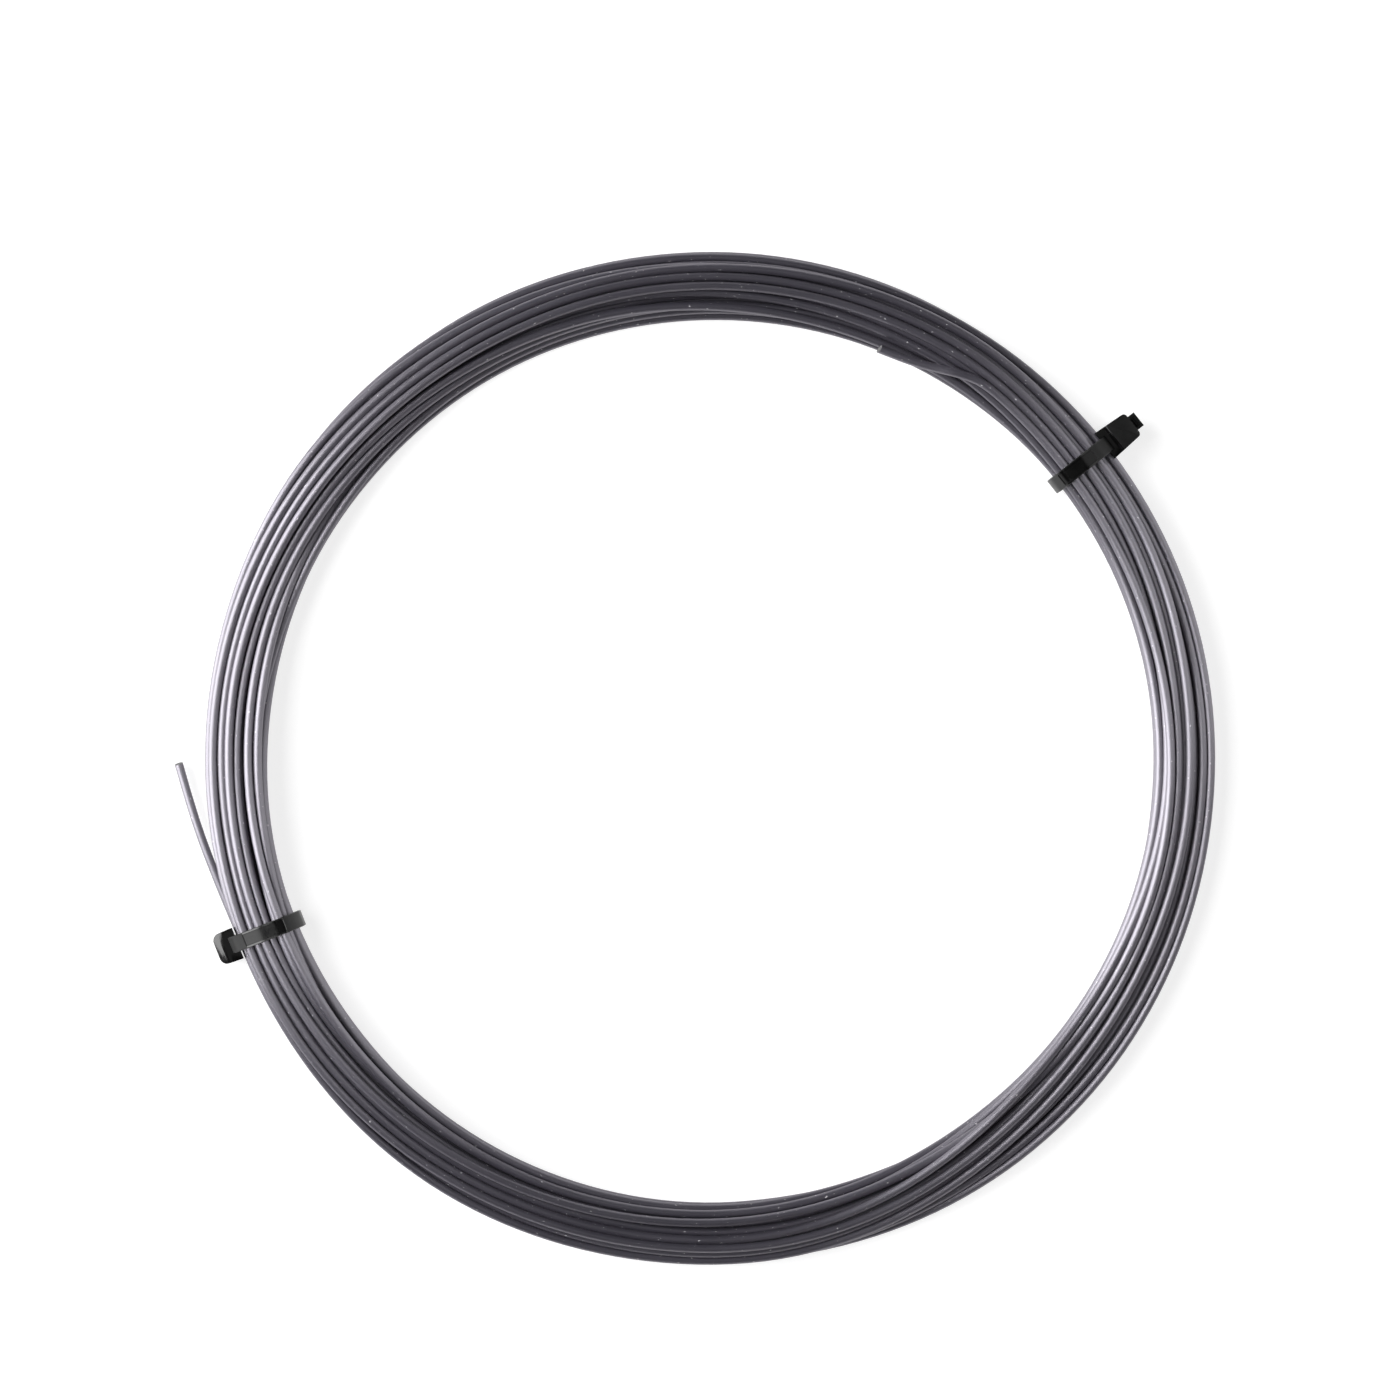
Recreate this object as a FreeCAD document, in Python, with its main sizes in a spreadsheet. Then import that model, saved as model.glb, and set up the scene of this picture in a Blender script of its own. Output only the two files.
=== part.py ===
import FreeCAD, Part
import Sketcher
import math
import os

# A coil of racket string lying flat, held by two self-locking cable ties.
# Millimetres, +Z up. The origin is the centre of the coil, on the surface it lies on.
# Angles are in degrees, anticlockwise from +X as seen from above.

doc = FreeCAD.newDocument("StringCoil")
vector = FreeCAD.Vector

# Driving dimensions
SIZES = [
    ("string_diameter", 1.3),
    ("strand_gap", 0.43),
    ("coil_mean_radius", 72.0),
    ("turns_per_layer", 5),
    ("top_layer_turns", 1),
    ("layer_count", 4),
    ("left_tie_angle", 201.4),
    ("right_tie_angle", 38.4),
    ("strap_width", 2.5),
    ("strap_thickness", 1.0),
    ("strap_clearance", 0.25),
    ("bend_radius", 0.25),
    ("head_width", 4.7),
    ("head_depth", 3.4),
    ("head_height", 4.8),
    ("head_floor", 1.0),
    ("head_gap", 0.1),
    ("head_corner_radius", 0.6),
    ("head_chamfer", 0.3),
    ("slot_clearance", 0.12),
    ("left_head_base", 0.6),
    ("right_head_base", 1.4),
    ("left_tail_stub", 0.15),
    ("right_tail_stub", 1.2),
    ("tooth_pitch", 1.0),
    ("tooth_depth", 0.3),
    ("tooth_land", 0.22),
    ("tooth_play", 0.24),
    ("pawl_width", 1.9),
    ("pawl_root_radius", 0.4),
    ("pawl_root_setback", 1.15),
    ("pawl_root_height", 0.75),
    ("pawl_lip", 0.25),
    ("pawl_reach", 1.85),
    ("pawl_tip_drop", 0.35),
    ("pawl_neck", 0.42),
    ("pawl_clearance", 0.05),
    ("pawl_side_clearance", 0.1),
    ("pawl_headroom", 1.35),
    ("outer_end_lead", 5.0),
    ("inner_end_lead", 4.0),
]

sheet = doc.addObject("Spreadsheet::Sheet", "Sizes")
for row, (alias, number) in enumerate(SIZES, start=1):
    sheet.set("A%d" % row, alias)
    sheet.set("B%d" % row, str(number))
    sheet.setAlias("B%d" % row, alias)
doc.recompute()

# Where the two free ends of the string run, from the coil to the cut tip. Each row is an
# angle past the tie, then strand pitches out from the coil's mean radius and strand pitches up:
# above the surface for the outer end, and above the top layer for the inner one.
OUTER_END_ROUTE = [
    (-9.1, 3.47, 0.52),
    (-12.9, 3.99, 0.29),
    (-16.7, 4.57, 0.14),
    (-20.4, 5.14, 0.09),
]
INNER_END_ROUTE = [
    (7.6, -1.10, 0.12),
    (12.1, -1.16, 0.58),
    (16.6, -1.50, 0.96),
    (20.8, -2.08, 1.05),
    (24.9, -2.54, 0.99),
    (28.9, -2.89, 0.87),
]

# The string climbs to the next layer within so many turns, centred on the reversal.
CLIMB_TURNS = 0.5
# An arc of the free ends takes up this share of the shorter of its two runs.
ARC_SHARE = 0.45
# Steps between the points at which gaps are measured.
COIL_STEP = 2.0
END_STEP = 0.5
# How near counts as being at a reversal, in turns, or on a corner.
AT_REVERSAL = 0.01
ON_CORNER = 0.001
# How far a cut runs on past the face that it opens.
PAST_FACE = 1.0


# Sizes that follow from the driving ones
def derived_sizes(name, rows):
    """A set of named values, each worked out by an expression."""
    values = doc.addObject("App::VarSet", name)
    for alias, formula in rows:
        values.addProperty("App::PropertyFloat", alias, "Derived")
        values.setExpression(alias, formula)
    doc.recompute()
    return values


bundle = derived_sizes("Bundle", [
    ("strand_pitch", "Sizes.string_diameter + Sizes.strand_gap"),
    ("innermost_lane", "Sizes.coil_mean_radius - Sizes.turns_per_layer / 2 * strand_pitch"),
    ("lane_share", "(360 - Sizes.left_tie_angle + Sizes.right_tie_angle) / 720"),
    ("lift", "Sizes.strap_thickness + Sizes.strap_clearance"),
    ("inner_side", "innermost_lane + lane_share * strand_pitch - Sizes.string_diameter / 2"),
    ("shoulder_top", "lift + (Sizes.layer_count - 2) * strand_pitch + Sizes.string_diameter"),
    ("crest_top", "lift + (Sizes.layer_count - 1) * strand_pitch + Sizes.string_diameter"),
])


teeth = derived_sizes("Teeth", [
    ("width", "Sizes.pawl_width + 2 * Sizes.pawl_side_clearance"),
    ("gap_length", "Sizes.tooth_pitch - Sizes.tooth_land"),
    ("ramp", "Sizes.tooth_depth / gap_length"),
    ("bite", "ramp * (gap_length - Sizes.tooth_play) - Sizes.pawl_clearance"),
])


# The string
def on_circle(angle, radius, height):
    """The point at an angle in degrees round the coil's axis."""
    turn = math.radians(angle)
    return vector(radius * math.cos(turn), radius * math.sin(turn), height)


def station_angle(quarter):
    """Stations lie at the two ties and halfway between them, about a quarter turn apart."""
    left = sheet.left_tie_angle
    right = sheet.right_tie_angle + 360
    halfway = (left + right) / 2
    quarters = (left, halfway, right, halfway + 180)
    return quarters[quarter % 4] + 360 * (quarter // 4)


def reversals():
    """Where the spiral turns back and climbs a layer, in turns from the start."""
    first = sheet.turns_per_layer + bundle.lane_share
    return [first + k * sheet.turns_per_layer for k in range(int(sheet.layer_count) - 1)]


def lane_and_slope(turn):
    """Lanes out from the innermost one after so many turns, and lanes gained per turn there."""
    since_first = turn - sheet.turns_per_layer - bundle.lane_share
    if since_first < 0:
        lane, slope = -since_first, -1.0
    else:
        cycle = since_first % (2 * sheet.turns_per_layer)
        outward = cycle <= sheet.turns_per_layer
        lane = cycle if outward else 2 * sheet.turns_per_layer - cycle
        slope = 1.0 if outward else -1.0
    if any(abs(turn - place) < AT_REVERSAL for place in reversals()):
        slope = 0.0
    return lane, slope


def station(quarter):
    """A point of the string's centre line and the direction that it runs in there."""
    angle = station_angle(quarter)
    turn = (angle - sheet.left_tie_angle) / 360
    lane, slope = lane_and_slope(turn)
    radius = bundle.innermost_lane + lane * bundle.strand_pitch
    shares = [(turn - place) / CLIMB_TURNS + 0.5 for place in reversals()]
    climbs = [min(1.0, max(0.0, share)) for share in shares]
    at_tie = quarter % 2 == 0
    height = sheet.string_diameter / 2 + sum(climbs) * bundle.strand_pitch
    height += bundle.lift if at_tie else 0.0
    outward_gain = slope * bundle.strand_pitch / (2 * math.pi)
    # Halfway up a climb the string is twice as steep as the climb is on average.
    climbing = any(0.0 < climb < 1.0 for climb in climbs)
    upward_gain = bundle.strand_pitch / (math.pi * CLIMB_TURNS) if climbing else 0.0
    radial = on_circle(angle, 1, 0)
    sideways = on_circle(angle + 90, 1, 0)
    along = sideways * radius + radial * outward_gain + vector(0, 0, upward_gain)
    along.normalize()
    return on_circle(angle, radius, height), along


def arc_from(start, along, end):
    """The arc that leaves start in the direction along and ends at end."""
    chord = end - start
    unit = chord / chord.Length
    side = along - unit * along.dot(unit)
    half_turn = math.atan2(side.Length, along.dot(unit))
    side.normalize()
    middle = start + chord / 2 + side * (chord.Length / 2 * math.tan(half_turn / 2))
    return Part.Arc(start, middle, end).toShape()


def biarc(start, start_along, end, end_along):
    """Two arcs that meet smoothly and join two points in the directions given."""
    gap = end - start
    both = start_along + end_along
    bend = 2 * (1 - start_along.dot(end_along))
    reach = (math.sqrt(gap.dot(both) ** 2 + bend * gap.dot(gap)) - gap.dot(both)) / bend
    meet = (start + end + (start_along - end_along) * reach) / 2
    meet_along = (end - end_along * reach) - (start + start_along * reach)
    meet_along.normalize()
    return [arc_from(start, start_along, meet), arc_from(meet, meet_along, end)]


def straight(start, end):
    return Part.LineSegment(start, end).toShape()


def string_section(centre, along):
    """The string's section, four flats inside its round one, with ridges above and beside it."""
    side = along.cross(vector(0, 0, 1))
    side.normalize()
    up = side.cross(along)
    half = sheet.string_diameter / 2
    ridges = [side * half, up * half, side * -half, up * -half, side * half]
    return Part.makePolygon([centre + ridge for ridge in ridges])


def tube(path, section):
    """The string's section carried along a path of lines and arcs, with its volume tested."""
    shell = Part.BRepOffsetAPI.MakePipeShell(path)
    shell.add(section)
    shell.build()
    shell.makeSolid()
    solid = shell.shape()
    expected = sheet.string_diameter ** 2 / 2 * path.Length
    ratio = solid.Volume / expected
    print("string length %.1f, volume over section times length %.4f" % (path.Length, ratio))
    return solid


def coil_edges():
    """Quarter turns that spiral in and out, with a straight lead at each end."""
    quarters_per_layer = 4 * int(sheet.turns_per_layer)
    total = quarters_per_layer * (int(sheet.layer_count) - 1) + 4 * int(sheet.top_layer_turns) + 2
    stations = [station(quarter) for quarter in range(total + 1)]
    first, first_along = stations[0]
    last, last_along = stations[-1]
    lead = sheet.string_diameter
    edges = [straight(first - first_along * lead, first)]
    for (start, start_along), (end, end_along) in zip(stations, stations[1:]):
        edges += biarc(start, start_along, end, end_along)
    edges.append(straight(last, last + last_along * lead))
    print("loops in the coil %.2f" % (total / 4))
    return edges


def route_points(tie_angle, base_height, route):
    """A free end's points, from rows that count in strand pitches."""
    pitch = bundle.strand_pitch
    points = []
    for past_tie, lanes, rise in route:
        radius = sheet.coil_mean_radius + lanes * pitch
        points.append(on_circle(tie_angle + past_tie, radius, base_height + rise * pitch))
    return points


def route_edges(points):
    """Straight runs joined by arcs, each as large as its two runs allow."""
    edges = []
    here = points[0]
    for before, corner, after in zip(points, points[1:], points[2:]):
        way_in = corner - before
        way_out = after - corner
        cut_back = ARC_SHARE * min(way_in.Length, way_out.Length)
        half_turn = way_in.getAngle(way_out) / 2
        print("bend radius %.1f" % (cut_back / math.tan(half_turn)))
        way_in.normalize()
        way_out.normalize()
        arc_end = corner + way_out * cut_back
        edges.append(straight(here, corner - way_in * cut_back))
        edges.append(arc_from(corner - way_in * cut_back, way_in, arc_end))
        here = arc_end
    edges.append(straight(here, points[-1]))
    return edges


def sample_points(edges, step):
    """Points about a step apart along a path."""
    points = []
    for edge in edges:
        points += edge.discretize(Number=max(2, int(edge.Length / step)))[:-1]
    return points


def section_gap(across, upright):
    """The gap between two strings whose centres lie so far apart, across and upright."""
    width = sheet.string_diameter
    if abs(across - upright) < width:
        return max(0.0, (across + upright - width) / math.sqrt(2))
    return math.hypot(max(across, upright) - width, min(across, upright))


def least_gap(points, others, far_apart):
    """The least gap between the strings along two rows of points, leaving out near neighbours."""
    cell = 2 * bundle.strand_pitch
    cells = {}
    for place, point in enumerate(others):
        key = (int(point.x // cell), int(point.y // cell))
        cells.setdefault(key, []).append((place, point))
    least = cell
    for place, point in enumerate(points):
        radius = math.hypot(point.x, point.y)
        column, line = int(point.x // cell), int(point.y // cell)
        near = [(column + a, line + b) for a in (-1, 0, 1) for b in (-1, 0, 1)]
        for other_place, other in (item for key in near for item in cells.get(key, [])):
            if far_apart and abs(place - other_place) < far_apart:
                continue
            if (point - other).Length > cell:
                continue
            across = abs(math.hypot(other.x, other.y) - radius)
            least = min(least, section_gap(across, abs(other.z - point.z)))
    return least


def shaped(label, shape):
    """A sub-part whose shape is worked out above from the sheet's values."""
    feature = doc.addObject("Part::Feature", label)
    feature.Label = label
    feature.Shape = shape
    feature.Placement = FreeCAD.Placement()
    return feature


def end_section(solid, centre):
    """The outline of the flat face that a tube ends on."""
    face = min(solid.Faces, key=lambda each: (each.CenterOfMass - centre).Length)
    return face.OuterWire


coil_path = coil_edges()
coil_wire = Part.Wire(coil_path)
coil_start, start_along = station(0)
coil_start = coil_start - start_along * sheet.string_diameter
coil_end = coil_path[-1].Vertexes[-1].Point
end_along = coil_path[-1].tangentAt(coil_path[-1].LastParameter)
coil_solid = tube(coil_wire, string_section(coil_start, start_along))

outer_points = [coil_start, coil_start - start_along * sheet.outer_end_lead]
outer_points += route_points(sheet.left_tie_angle, sheet.string_diameter / 2, OUTER_END_ROUTE)
outer_path = route_edges(outer_points)
outer_solid = tube(Part.Wire(outer_path), end_section(coil_solid, coil_start))

inner_points = [coil_end, coil_end + end_along * sheet.inner_end_lead]
inner_points += route_points(sheet.right_tie_angle, coil_end.z, INNER_END_ROUTE)
inner_path = route_edges(inner_points)
inner_solid = tube(Part.Wire(inner_path), end_section(coil_solid, coil_end))

half_loop = int(math.pi * sheet.coil_mean_radius / COIL_STEP)
beside_leads = int((sheet.outer_end_lead + sheet.inner_end_lead) / COIL_STEP)
along_coil = sample_points(coil_path, COIL_STEP)
along_outer_end = sample_points(outer_path, END_STEP)
along_inner_end = sample_points(inner_path, END_STEP)
print("least gap within the coil %.3f" % least_gap(along_coil, along_coil, half_loop))
print("outer end to coil %.3f" % least_gap(along_outer_end, along_coil[beside_leads:], 0))
print("inner end to coil %.3f" % least_gap(along_inner_end, along_coil[:-beside_leads], 0))

sub_parts = [
    shaped("string_coil", coil_solid),
    shaped("string_outer_end", outer_solid),
    shaped("string_inner_end", inner_solid),
]


# Sketches, pads and pockets of the ties.
# In a tie's own frame X is the distance from the coil's axis and Y is the height.
def new_sketch(body, name):
    sketch = body.newObject("Sketcher::SketchObject", name)
    plane = [each for each in body.Origin.OriginFeatures if each.Role == "XY_Plane"][0]
    sketch.AttachmentSupport = [(plane, "")]
    sketch.MapMode = "FlatFace"
    return sketch


def pin_point(sketch, line, x_formula, y_formula):
    """Hold a line's first point at a place given by two expressions."""
    for kind, formula in (("DistanceX", x_formula), ("DistanceY", y_formula)):
        place = sketch.addConstraint(Sketcher.Constraint(kind, -1, 1, line, 1, 1.0))
        sketch.setExpression("Constraints[%d]" % place, formula)


def outline_sketch(body, name, corners):
    """A closed outline whose corners are pairs of expressions, in order."""
    sketch = new_sketch(body, name)
    count = len(corners)
    rough = [on_circle(360 * k / count, 1, 0) for k in range(count)]
    for k in range(count):
        sketch.addGeometry(Part.LineSegment(rough[k], rough[(k + 1) % count]))
    for k in range(count):
        sketch.addConstraint(Sketcher.Constraint("Coincident", k, 2, (k + 1) % count, 1))
    for k, (x_formula, y_formula) in enumerate(corners):
        pin_point(sketch, k, x_formula, y_formula)
    doc.recompute()
    return sketch


def circle_sketch(body, name, x_formula, y_formula, radius_formula):
    sketch = new_sketch(body, name)
    sketch.addGeometry(Part.Circle(vector(1, 1, 0), vector(0, 0, 1), 1))
    for kind, formula in (("DistanceX", x_formula), ("DistanceY", y_formula)):
        place = sketch.addConstraint(Sketcher.Constraint(kind, -1, 1, 0, 3, 1.0))
        sketch.setExpression("Constraints[%d]" % place, formula)
    place = sketch.addConstraint(Sketcher.Constraint("Radius", 0, 1.0))
    sketch.setExpression("Constraints[%d]" % place, radius_formula)
    doc.recompute()
    return sketch


def centred(body, kind, name, sketch, width_formula):
    """A pad or pocket as deep to either side of its sketch."""
    feature = body.newObject("PartDesign::" + kind, name)
    feature.Profile = sketch
    feature.SideType = "Symmetric"
    feature.setExpression("Length", width_formula)
    doc.recompute()
    return feature


def edges_where(feature, wanted):
    """Names of a feature's edges for which a test holds."""
    found = enumerate(feature.Shape.Edges, start=1)
    return ["Edge%d" % number for number, edge in found if wanted(edge)]


def fillet(body, name, base, edge_names, radius_formula):
    feature = body.newObject("PartDesign::Fillet", name)
    feature.Base = (base, edge_names)
    feature.setExpression("Radius", radius_formula)
    doc.recompute()
    return feature


def chamfer(body, name, base, edge_names, size_formula):
    feature = body.newObject("PartDesign::Chamfer", name)
    feature.Base = (base, edge_names)
    feature.setExpression("Size", size_formula)
    doc.recompute()
    return feature


def row_of(body, name, original, count_formula):
    """Copies of a tooth gap along the strap, one tooth pitch apart."""
    pattern = body.newObject("PartDesign::LinearPattern", name)
    pattern.Originals = [original]
    pattern.Direction = (original.Profile[0], ["H_Axis"])
    pattern.Mode = "Spacing"
    pattern.setExpression("Offset", "Sizes.tooth_pitch")
    pattern.setExpression("Occurrences", count_formula)
    body.Tip = pattern
    doc.recompute()
    return pattern


def stand_round_coil(feature, angle_alias):
    """Turn a tie's flat frame upright and carry it round to the tie's angle."""
    turn = "rotation(vector(0; 0; 1); Sizes.%s)" % angle_alias
    upright = "rotation(vector(1; 0; 0); 90)"
    feature.setExpression("Placement", "placement(vector(0; 0; 0); %s * %s)" % (turn, upright))


def tie_sizes(side, lanes_out, top_lanes_out):
    """Where one tie lies round the bundle, whose outermost and topmost lanes differ at the two."""
    lane_edge = "Bundle.innermost_lane + (%s) * Bundle.strand_pitch + Sizes.string_diameter / 2"
    return derived_sizes(side.capitalize() + "Tie", [
        ("inner_face", "Bundle.inner_side - Sizes.strap_clearance"),
        ("outer_face", lane_edge % lanes_out + " + Sizes.strap_clearance"),
        ("crest_end", lane_edge % top_lanes_out + " + Sizes.strap_clearance"),
        ("crest_level", "Bundle.crest_top + Sizes.strap_clearance"),
        ("shoulder_level", "Bundle.shoulder_top + Sizes.strap_clearance"),
        ("root_face", "outer_face + Sizes.strap_thickness + Sizes.head_gap"),
        ("head_face", "root_face + Sizes.head_depth"),
        ("head_base", "Sizes.%s_head_base" % side),
        ("head_top", "head_base + Sizes.head_height"),
        ("slot_floor", "head_base + Sizes.head_floor"),
        ("tail_floor", "slot_floor + Sizes.slot_clearance"),
        ("tail_top", "tail_floor + Sizes.strap_thickness"),
        ("slot_roof", "tail_top + Sizes.slot_clearance"),
        ("root_start", "(slot_roof + Sizes.pawl_headroom + head_top) / 2"),
        ("tail_end", "head_face + Sizes.%s_tail_stub" % side),
        ("pawl_x", "root_face + Sizes.pawl_root_setback"),
        ("pawl_y", "slot_roof + Sizes.pawl_root_height"),
        ("steep_wall", "pawl_x + Sizes.pawl_reach + Sizes.tooth_play"),
        ("first_gap", "steep_wall - 2 * Sizes.tooth_pitch - Teeth.gap_length"),
    ])


def strap_body(side):
    """The strap bent round the bundle, from its root in the head to its cut tail."""
    body = doc.addObject("PartDesign::Body", side + "_strap")
    own = side.capitalize() + "Tie."
    thick = " + Sizes.strap_thickness"
    thin = " - Sizes.strap_thickness"
    corners = [
        (own + "root_face", own + "root_start"),
        (own + "root_face", own + "shoulder_level"),
        (own + "crest_end", own + "crest_level"),
        (own + "inner_face", own + "crest_level"),
        (own + "inner_face", "Sizes.strap_thickness"),
        (own + "outer_face", "Sizes.strap_thickness"),
        (own + "outer_face", own + "tail_top"),
        (own + "tail_end", own + "tail_top"),
        (own + "tail_end", own + "tail_floor"),
        (own + "outer_face" + thick, own + "tail_floor"),
        (own + "outer_face" + thick, "0"),
        (own + "inner_face" + thin, "0"),
        (own + "inner_face" + thin, own + "crest_level" + thick),
        (own + "crest_end", own + "crest_level" + thick),
        (own + "root_face" + thick, own + "shoulder_level" + thick),
        (own + "root_face" + thick, own + "root_start"),
    ]
    outline = outline_sketch(body, side + "_strap_outline", corners)
    strip = centred(body, "Pad", side + "_strap_strip", outline, "Sizes.strap_width")

    points = [line.StartPoint for line in outline.Geometry]
    tight_corners = [points[k] for k in (1, 2, 3, 4, 5, 9)]
    wide_corners = [points[k] for k in (6, 10, 11, 12, 13, 14)]
    tight = bent_edges(strip, tight_corners)
    inner_bends = fillet(body, side + "_inner_bends", strip, tight, "Sizes.bend_radius")
    wide = bent_edges(inner_bends, wide_corners)
    fillet(body, side + "_outer_bends", inner_bends, wide, "Sizes.bend_radius" + thick)

    first_under = own + "inner_face + 2 * Sizes.bend_radius"
    under_count = "floor((%souter_face - %s - Sizes.bend_radius) / Sizes.tooth_pitch)" % (own, first_under)
    tooth_row(body, side + "_under_teeth", first_under, "Sizes.strap_thickness", under_count)
    first_held = own + "first_gap"
    held_count = "floor((%stail_end - %s) / Sizes.tooth_pitch)" % (own, first_held)
    tooth_row(body, side + "_tail_teeth", first_held, own + "tail_top", held_count)
    return body


def bent_edges(feature, corners):
    """The edges across the strap that stand on the corners given."""
    def on_corner(edge):
        ends = [vertex.Point for vertex in edge.Vertexes]
        across = len(ends) == 2 and abs(ends[0].z - ends[1].z) > sheet.strap_width / 2
        return across and any(math.hypot(ends[0].x - at.x, ends[0].y - at.y) < ON_CORNER for at in corners)
    return edges_where(feature, on_corner)


def tooth_row(body, name, start, level, count):
    """Saw-tooth gaps cut down from a level, their steep walls towards the tail's end."""
    steep = start + " + Teeth.gap_length"
    above = level + " + Sizes.tooth_depth"
    corners = [
        (start, level),
        (steep, level + " - Sizes.tooth_depth"),
        (steep, above),
        (start, above),
    ]
    outline = outline_sketch(body, name + "_outline", corners)
    gap = centred(body, "Pocket", name + "_first", outline, "Teeth.width")
    row_of(body, name, gap, count)


def head_body(side, sizes):
    """The head, a block with the strap's slot through it and the pawl's chamber above the slot."""
    body = doc.addObject("PartDesign::Body", side + "_head")
    own = side.capitalize() + "Tie."
    block_corners = [
        (own + "root_face", own + "head_base"),
        (own + "head_face", own + "head_base"),
        (own + "head_face", own + "head_top"),
        (own + "root_face", own + "head_top"),
    ]
    block_outline = outline_sketch(body, side + "_block_outline", block_corners)
    block = centred(body, "Pad", side + "_block", block_outline, "Sizes.head_width")
    lengthwise = edges_where(block, lambda edge: edge.BoundBox.XLength > sheet.head_depth / 2)
    rounded = fillet(body, side + "_rounded", block, lengthwise, "Sizes.head_corner_radius")
    rim = edges_where(rounded, lambda edge: edge.BoundBox.XMin > sizes.head_face - ON_CORNER)
    chamfer(body, side + "_bevelled", rounded, rim, "Sizes.head_chamfer")

    behind = own + "root_face - %s" % PAST_FACE
    in_front = own + "head_face + %s" % PAST_FACE
    slot_corners = [
        (behind, own + "slot_floor"),
        (in_front, own + "slot_floor"),
        (in_front, own + "slot_roof"),
        (behind, own + "slot_roof"),
    ]
    slot_outline = outline_sketch(body, side + "_slot_outline", slot_corners)
    centred(body, "Pocket", side + "_slot", slot_outline, "Sizes.strap_width + 2 * Sizes.slot_clearance")
    lip = own + "pawl_x + Sizes.pawl_lip"
    chamber_roof = own + "slot_roof + Sizes.pawl_headroom"
    chamber_corners = [
        (lip, own + "tail_top"),
        (in_front, own + "tail_top"),
        (in_front, chamber_roof),
        (lip, chamber_roof),
    ]
    chamber_outline = outline_sketch(body, side + "_chamber_outline", chamber_corners)
    centred(body, "Pocket", side + "_chamber", chamber_outline, "Teeth.width")
    seat_radius = "Sizes.pawl_root_radius + Sizes.pawl_clearance"
    seat_outline = circle_sketch(body, side + "_seat_outline", own + "pawl_x", own + "pawl_y", seat_radius)
    seat = centred(body, "Pocket", side + "_seat", seat_outline, "Teeth.width")
    body.Tip = seat
    return body


def pawl_body(side):
    """The pawl, a short tongue on a round root, whose two teeth sit in the strap's."""
    body = doc.addObject("PartDesign::Body", side + "_tie_pawl")
    body.Label = side + "_tie_pawl"
    own = side.capitalize() + "Tie."
    at_x = own + "pawl_x + "
    at_y = own + "pawl_y"
    heel = "Sizes.pawl_lip + 2 * Sizes.pawl_clearance"
    front_tip = "Sizes.pawl_reach"
    rear_tip = "Sizes.pawl_reach - Sizes.tooth_pitch"
    between = "Sizes.pawl_reach - Teeth.gap_length + Sizes.tooth_play"
    ridge = own + "tail_top + Sizes.pawl_clearance"
    bite = own + "tail_top - Teeth.bite"
    corners = [
        (own + "pawl_x", at_y + " - Sizes.pawl_neck / 2"),
        (at_x + heel, at_y + " - Sizes.pawl_neck / 2"),
        (at_x + heel, bite + " + Teeth.ramp * (%s - %s)" % (rear_tip, "(" + heel + ")")),
        (at_x + rear_tip, bite),
        (at_x + rear_tip, ridge),
        (at_x + between, ridge),
        (at_x + front_tip, bite),
        (at_x + front_tip, at_y + " - Sizes.pawl_tip_drop"),
        (at_x + heel, at_y + " + Sizes.pawl_neck / 2"),
        (own + "pawl_x", at_y + " + Sizes.pawl_neck / 2"),
    ]
    outline = outline_sketch(body, side + "_pawl_outline", corners)
    centred(body, "Pad", side + "_pawl_tongue", outline, "Sizes.pawl_width")
    root = circle_sketch(body, side + "_pawl_root_outline", own + "pawl_x", at_y, "Sizes.pawl_root_radius")
    body.Tip = centred(body, "Pad", side + "_pawl_root", root, "Sizes.pawl_width")
    return body


def tie(side, lanes_out, top_lanes_out):
    """One cable tie: its strap and head in one moulding, and its pawl."""
    sizes = tie_sizes(side, lanes_out, top_lanes_out)
    moulding = doc.addObject("Part::Fuse", side + "_tie")
    moulding.Label = side + "_tie"
    moulding.Base = head_body(side, sizes)
    moulding.Tool = strap_body(side)
    pawl = pawl_body(side)
    for feature in (moulding, pawl):
        stand_round_coil(feature, side + "_tie_angle")
    doc.recompute()
    return [moulding, pawl]


sub_parts += tie(
    "left",
    "Sizes.turns_per_layer + Bundle.lane_share",
    "Sizes.top_layer_turns - Bundle.lane_share",
)
sub_parts += tie(
    "right",
    "Sizes.turns_per_layer - Bundle.lane_share",
    "Sizes.top_layer_turns + Bundle.lane_share",
)

# Nothing is written unless every feature worked and every sub-part is one sound solid
for each in doc.Objects:
    if "Invalid" in each.State or "Error" in each.State:
        raise RuntimeError("%s is %s" % (each.Label, each.State))
for each in sub_parts:
    if each.Shape.isNull() or not each.Shape.isValid() or len(each.Shape.Solids) != 1:
        raise RuntimeError("%s is not one sound solid" % each.Label)

os.makedirs("parts", exist_ok=True)
for each in sub_parts:
    each.Shape.exportStep("parts/%s.step" % each.Label)
    print("%s %.2f mm3" % (each.Label, each.Shape.Volume))
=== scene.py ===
"""A coil of racket string held by two cable ties, dressed for the photograph's view from above."""
import math

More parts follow.
